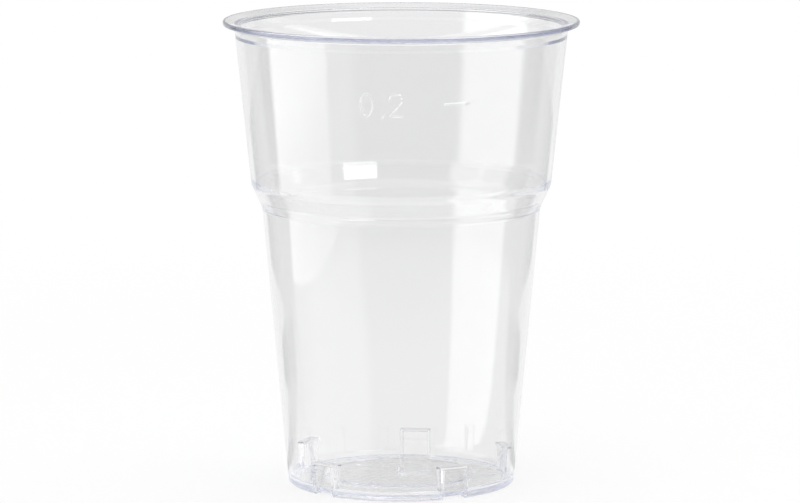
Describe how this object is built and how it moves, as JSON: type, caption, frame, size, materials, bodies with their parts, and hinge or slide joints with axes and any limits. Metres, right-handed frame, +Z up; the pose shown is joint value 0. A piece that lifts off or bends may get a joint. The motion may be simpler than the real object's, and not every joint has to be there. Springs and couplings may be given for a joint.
{
  "type": "drinking tumbler",
  "caption": "Clear moulded drinking tumbler: tapered wall with a stacking shoulder, a turned-out lip and flat recessed panels round the foot.",
  "frame": {"origin": "middle of the foot, on the surface that the cup stands on", "axes": "+Z up along the cup's axis; -Y is the front, where the fill mark is"},
  "size_m": [0.075, 0.075, 0.0985],
  "materials": {
    "clear_plastic": "clear, glossy, moulded polystyrene"
  },
  "bodies": {
    "root": {"cup": "clear_plastic"}
  },
  "joints": []
}
